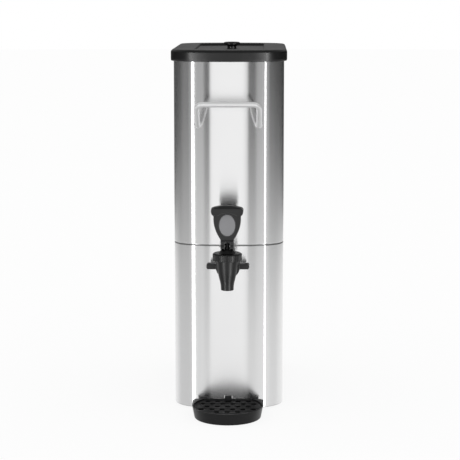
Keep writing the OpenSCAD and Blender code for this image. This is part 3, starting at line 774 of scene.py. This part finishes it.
def collar(steps=480):
    """Ribbed collar with a low dome and the stem's hole in its middle."""
    outer = rounded([
        (16, COLLAR_Z, 0), (COLLAR_R, COLLAR_Z, 0.6), (COLLAR_R, COLLAR_TOP - 1.6, 0.4),
        (20.6, COLLAR_TOP - 0.9, 0.3), (19.3, COLLAR_TOP, 0.4), (13.2, COLLAR_TOP, 1.2),
        (9, DOME_Z - 0.9, 1.6), (8.1, DOME_Z, 0.5), (3.58, DOME_Z, 0.3), (3.58, 247.4), (15.55, 247.4),
        (15.55, COLLAR_Z, 0.2)])
    rows = []
    for r, z in outer:
        row = []
        for i, (c, s) in enumerate(circle(steps)):
            reach = r - rib_groove(i, steps) if r > 20.55 else r
            row.append((reach * c, FAUCET_Y + reach * s, z))
        rows.append(row)
    return stack("collar", rows, closed=True)


finish_piece(collar(), FAUCET, "dispenser", "faucet_plastic", "faucet_bonnet")


def coupling():
    """Union nut with two flat wings."""
    hub = lathe("hub", rounded([
        (11.08, 10.3, 0.4), (18.6, 10.3, 0.7), (18.6, 13.3, 0.6), (17.8, 13.8, 0.3), (17.8, 31.4, 1.2),
        (8.9, 31.4, 0.6), (8.9, 29.35), (11.08, 29.3)], closed=True),
        (0, FRONT_Y, SHANK_Z), "Y", closed=True)
    root = 14.5
    tip = 31.5
    half = 4
    thick = 15
    wing = [(root, -half), (tip - 2.2, -half + 0.1), (tip - 0.7, -half + 0.7), (tip, -half + 2),
            (tip, half - 2), (tip - 0.7, half - 0.7), (tip - 2.2, half - 0.1), (root, half)]
    upright = Matrix.Rotation(math.pi / 2, 4, "X")
    place = Matrix.Translation((0, (FRONT_Y - 13.3) * MM, SHANK_Z * MM)) @ upright
    left = plate("wing", [[(-x, y) for x, y in wing]], thick, place, bevel=0.8)
    right = plate("wing", [wing], thick, place, bevel=0.8)
    return joined("coupling", hub, left, right)


finish_piece(coupling(), FAUCET, "coupling_nut", "faucet_plastic", "wing_nut")


# Spring and seat cup round the stem, each with its own mesh; on the faucet they go flatter as the stem
# rises

def flattened(obj):
    """Gives a piece its own copy of its mesh."""
    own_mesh(obj)


def spring_height(t, base, top):
    """Height of the coil after t turns: even in the middle, close wound in the first and last turn."""
    end = 2.4 * SPRING_WIRE_R
    pitch = (top - base - 2 * end) / (SPRING_TURNS - 2)
    if t < 1:
        return base + end * t
    if t > SPRING_TURNS - 1:
        return top - end * (SPRING_TURNS - t)
    return base + end + pitch * (t - 1)


def spring(steps=24):
    """Coil as high and as wide as its CAD node."""
    low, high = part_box("valve_spring")
    base = low[2] / MM + SPRING_WIRE_R
    top = high[2] / MM - SPRING_WIRE_R
    mid = (high[0] - low[0]) / MM / 2 - SPRING_WIRE_R
    path = []
    for i in range(SPRING_TURNS * steps + 1):
        t = i / steps
        path.append((mid * math.cos(2 * math.pi * t), FAUCET_Y + mid * math.sin(2 * math.pi * t),
                     spring_height(t, base, top)))
    return tube("spring_coil", path, [SPRING_WIRE_R] * len(path), 12)


coil = finish_piece(spring(), FASTENER, "dispenser", "fastener_steel", "valve_spring")
flattened(coil)
cup = new_object("seat_bell", NODES["seat_cup"].data.copy())
finish_piece(cup, SILICONE, "dispenser", "seal_silicone", "seat_cup")
flattened(cup)


# Lever and its badge

def softened(name, node, voxel, rounds):
    """Copy of a CAD node's shape with softly rounded edges."""
    obj = new_object(name, NODES[node].data.copy())
    obj.data.name = name
    bm = bmesh.new()
    bm.from_mesh(obj.data)
    bmesh.ops.remove_doubles(bm, verts=bm.verts, dist=1e-6)
    bm.to_mesh(obj.data)
    bm.free()
    remesh = obj.modifiers.new("remesh", "REMESH")
    remesh.mode = "VOXEL"
    remesh.voxel_size = voxel * MM
    smooth = obj.modifiers.new("smooth", "SMOOTH")
    smooth.factor = 0.5
    smooth.iterations = rounds
    applied(obj)
    obj.data.shade_smooth()
    return obj


def badge():
    """Oval plate with a rounded edge, from rows of (share of the oval, distance in front of its back)."""
    profile = [(0.3, 0), (0.95, 0), (1, 0.25), (1, 1.05), (0.985, 1.3), (0.95, 1.42), (0.85, 1.47),
               (0.6, 1.49), (0.3, 1.5)]
    rows = []
    for share, d in profile:
        rows.append([(BADGE_X * share * c, BADGE_Y - d, BADGE_MIDDLE + BADGE_Z * share * s)
                     for c, s in circle(96)])
    return stack("badge", rows, caps=True)


lever = softened("lever_form", "lever", voxel=0.4, rounds=6)
finish_piece(lever, LEVER, "handle_lever", "faucet_plastic", "lever")
finish_piece(badge(), BADGE, "handle_lever", "badge_plastic", "lever_badge")


# Stage: white floor and world, and a round studio wall of light and dark fields that only gloss sees

def ramp(mat, fac, stops):
    """Grey ramp over the azimuth, from (degrees, level) stops."""
    node = mat.node_tree.nodes.new("ShaderNodeValToRGB")
    node.color_ramp.interpolation = "LINEAR"
    elements = node.color_ramp.elements
    while len(elements) > 1:
        elements.remove(elements[-1])
    for k, (degrees, level) in enumerate(stops):
        position = (degrees + 180) / 360
        element = elements[0] if k == 0 else elements.new(position)
        element.position = position
        element.color = (level, level, level, 1)
    mat.node_tree.links.new(fac, node.inputs["Fac"])
    return node.outputs["Color"]


def wall_light(mat):
    """Grey of the wall over its azimuth, 0 degrees in front: fields above, and nearly even below."""
    axes = object_axes(mat)
    turn = computed(mat, "ARCTAN2", axes["X"], computed(mat, "MULTIPLY", -1.0, axes["Y"]))
    azimuth = ranged(mat, turn, 0, 1, start=-math.pi, end=math.pi)
    upper = ramp(mat, azimuth, [
        (-180, 0.3), (-150, 0.1), (-130, 0.05), (-101, 0.05), (-77, 0.15), (-57, 0.13), (-48, 0.27),
        (-42, 0.38), (-26, 0.38), (-25, 0), (-20.6, 0), (-19.8, 1.0), (-17, 1.15), (0, 1.16),
        (11, 1.17), (13.5, 1.0), (15.5, 0.75), (16.5, 0), (22.5, 0), (25, 0.3), (30, 0.38),
        (40, 0.4), (48, 0.2), (57, 0.02), (90, 0), (150, 0.05), (180, 0.3)])
    lower = ramp(mat, azimuth, [
        (-180, 1.0), (-130, 1.02), (-101, 0.85), (-77, 0.86), (-57, 0.89), (-48, 0.92), (-40, 1.05),
        (-27, 1.1), (-20, 1.12), (0, 1.14), (16, 1.13), (25, 1.12), (40, 1.18), (48, 1.18),
        (57, 1.14), (67, 1.07), (90, 1.0), (115, 1.08), (180, 1.0)])
    return mixed(mat, ranged(mat, axes["Z"], 0, 1, start=-0.36, end=-0.24), lower, upper)


def studio_wall():
    """Upright wall round the dispenser, dimmed towards its lower edge."""
    rows = [[(WALL_R * s, -WALL_R * c, z) for c, s in circle(144)] for z in (WALL_LOW, WALL_TOP)]
    wall = stack("studio_wall", rows)
    mat = bpy.data.materials.new("studio_wall")
    mat.use_nodes = True
    tree = mat.node_tree
    tree.nodes.remove(tree.nodes["Principled BSDF"])
    shader = tree.nodes.new("ShaderNodeEmission")
    tree.links.new(shader.outputs["Emission"], tree.nodes["Material Output"].inputs["Surface"])
    tree.links.new(wall_light(mat), shader.inputs["Color"])
    strength = ranged(mat, object_axes(mat)["Z"], 0.62, 1, start=-1.75, end=-1.2)
    tree.links.new(strength, shader.inputs["Strength"])
    wall.data.materials.append(mat)
    wall.location = (0, FRONT_Y * MM, 0)
    wall.rotation_euler = (0, 0, math.radians(VIEW_A))
    wall.visible_camera = False
    wall.visible_diffuse = False
    wall.visible_shadow = False


def floor():
    """Pale floor: white to the camera, with a faint shadow of the object."""
    obj = mesh_object("floor", [(FLOOR_R * c, FLOOR_R * s, 0) for c, s in circle(96)], [tuple(range(96))])
    mat = material("pale_floor", (0.9, 0.9, 0.9), roughness=0.9)
    tree = mat.node_tree
    glow = tree.nodes.new("ShaderNodeEmission")
    path = tree.nodes.new("ShaderNodeLightPath")
    seen = computed(mat, "MAXIMUM", path.outputs["Is Camera Ray"], path.outputs["Is Transmission Ray"])
    mix = tree.nodes.new("ShaderNodeMixShader")
    tree.links.new(ranged(mat, seen, 0, 0.88, start=0, end=1), mix.inputs["Fac"])
    tree.links.new(tree.nodes["Principled BSDF"].outputs["BSDF"], mix.inputs[1])
    tree.links.new(glow.outputs["Emission"], mix.inputs[2])
    tree.links.new(mix.outputs["Shader"], tree.nodes["Material Output"].inputs["Surface"])
    obj.data.materials.append(mat)
    obj.visible_glossy = False


def strip_light(name, azimuth, radiance, pieces, width, shadow=True):
    """Tall narrow lamp behind and beside the camera. Only the gloss of the named pieces shows it.

    It reaches below the floor line. Without a shadow, the floor doesn't hold that part back.
    """
    data = bpy.data.lights.new(name, "AREA")
    data.shape = "RECTANGLE"
    data.size = width
    data.size_y = LAMP_HEIGHT
    data.energy = radiance * math.pi * width * LAMP_HEIGHT
    data.use_shadow = shadow
    obj = new_object(name, data)
    a = math.radians(azimuth + VIEW_A)
    obj.location = (LAMP_AWAY * math.sin(a), FRONT_Y * MM - LAMP_AWAY * math.cos(a), LAMP_MIDDLE)
    obj.rotation_euler = (math.pi / 2, 0, a)
    obj.visible_camera = False
    obj.visible_diffuse = False
    lit = bpy.data.collections.new(name + "_pieces")
    for piece in pieces:
        lit.objects.link(bpy.data.objects[piece])
    obj.light_linking.receiver_collection = lit


def studio_world():
    """White to the camera and as soft light, grey in reflections above the wall."""
    world = bpy.data.worlds.new("studio")
    bpy.context.scene.world = world
    world.use_nodes = True
    rays = world.node_tree.nodes.new("ShaderNodeLightPath")
    shade = mixed(world, rays.outputs["Is Glossy Ray"], (1, 1, 1), (0.35, 0.35, 0.35))
    backdrop = world.node_tree.nodes["Background"]
    world.node_tree.links.new(shade, backdrop.inputs["Color"])
    backdrop.inputs["Strength"].default_value = 1.0


def view():
    """Camera at the photograph's angle: nearly straight ahead and a little above."""
    data = bpy.data.cameras.new("camera")
    data.sensor_width = 36
    data.lens = CAMERA_LENS
    data.clip_start = 0.05
    data.clip_end = 60
    obj = new_object("camera", data)
    obj.location = (CAMERA_X, FRONT_Y * MM - CAMERA_AWAY, CAMERA_Z)
    obj.rotation_euler = (math.radians(90 - VIEW_DOWN), 0, math.radians(VIEW_A))
    bpy.context.scene.camera = obj
    bpy.context.scene.view_settings.view_transform = "Standard"


steel_pieces = ["tank_skin", "skirt_skin", "front_rod", "rear_rod", "shank_nut", "tank_floor"]
black_pieces = ["lid_shell", "knob", "faucet_form", "collar", "coupling", "lever_form"]
studio_wall()
strip_light("strip_left", azimuth=-38.2, radiance=4.5, pieces=steel_pieces, width=0.26)
strip_light("strip_right", azimuth=36.4, radiance=4.5, pieces=steel_pieces, width=0.26)
strip_light("satin_left", azimuth=-39, radiance=85, pieces=black_pieces, width=0.1, shadow=False)
strip_light("satin_right", azimuth=38, radiance=100, pieces=black_pieces, width=0.1, shadow=False)
floor()
studio_world()
view()
